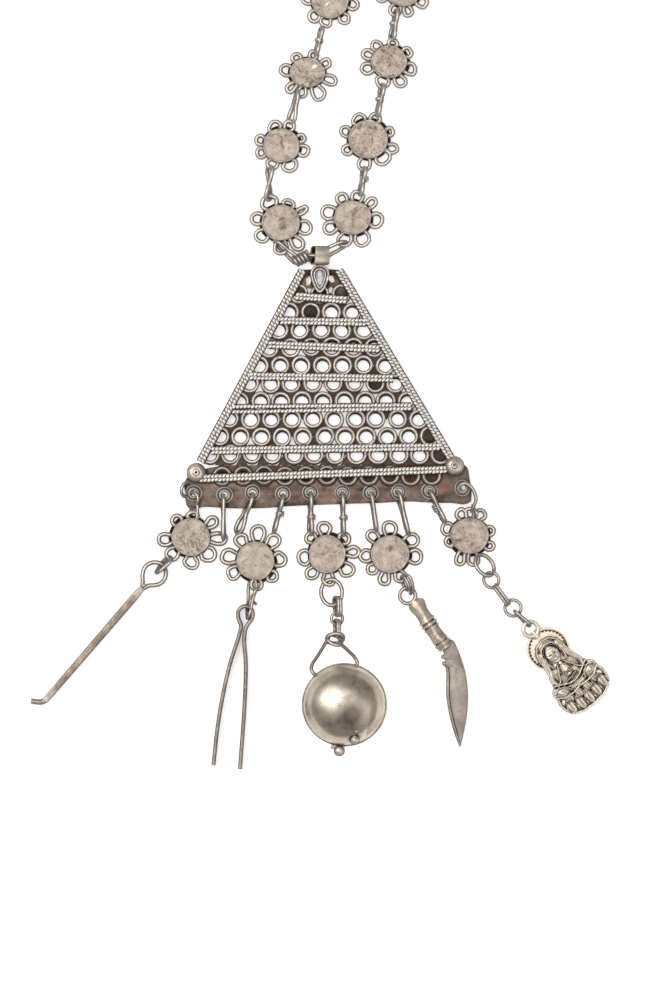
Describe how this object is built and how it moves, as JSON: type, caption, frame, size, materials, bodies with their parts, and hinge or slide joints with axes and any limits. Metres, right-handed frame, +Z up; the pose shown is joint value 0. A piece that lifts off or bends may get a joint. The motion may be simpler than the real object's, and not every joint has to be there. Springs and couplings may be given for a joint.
{
  "type": "talisman necklace",
  "caption": "Silver necklace: closed chain of flower links carrying a pierced triangular pendant with a stone and drops of small tools and charms.",
  "frame": {"origin": "centre of the bounding box's foot: the necklace lies on its back on a flat surface, and this is the point of that surface under its middle", "axes": "+Z up from the surface towards the viewer, +Y towards the neck end of the loop, +X to the right as seen from above the front"},
  "size_m": [0.2012, 0.3925, 0.017],
  "materials": {
    "aged_silver": "aged silver, warm grey with dark recesses",
    "clear_stone": "clear cut stone"
  },
  "bodies": {
    "root": {"bail_link": "aged_silver", "ball": "aged_silver", "ball_barrel_link": "aged_silver", "ball_oval_ring": "aged_silver", "ball_small_link": "aged_silver", "ball_small_ring": "aged_silver", "chain_left": "aged_silver", "chain_right": "aged_silver", "drop_flower_1": "aged_silver", "drop_flower_2": "aged_silver", "drop_flower_3": "aged_silver", "drop_flower_4": "aged_silver", "drop_flower_5": "aged_silver", "ear_scoop": "aged_silver", "figure_bar_link": "aged_silver", "figure_charm": "aged_silver", "figure_ring_1": "aged_silver", "figure_ring_2": "aged_silver", "figure_ring_3": "aged_silver", "figure_thin_link": "aged_silver", "hook_1a": "aged_silver", "hook_1b": "aged_silver", "hook_2a": "aged_silver", "hook_2b": "aged_silver", "hook_3a": "aged_silver", "hook_3b": "aged_silver", "hook_4a": "aged_silver", "hook_4b": "aged_silver", "hook_5a": "aged_silver", "hook_5b": "aged_silver", "knife": "aged_silver", "knife_jump_ring": "aged_silver", "pendant": "aged_silver", "scoop_coil_ring": "aged_silver", "stone": "clear_stone", "tweezer_link": "aged_silver", "tweezers": "aged_silver"}
  },
  "joints": []
}
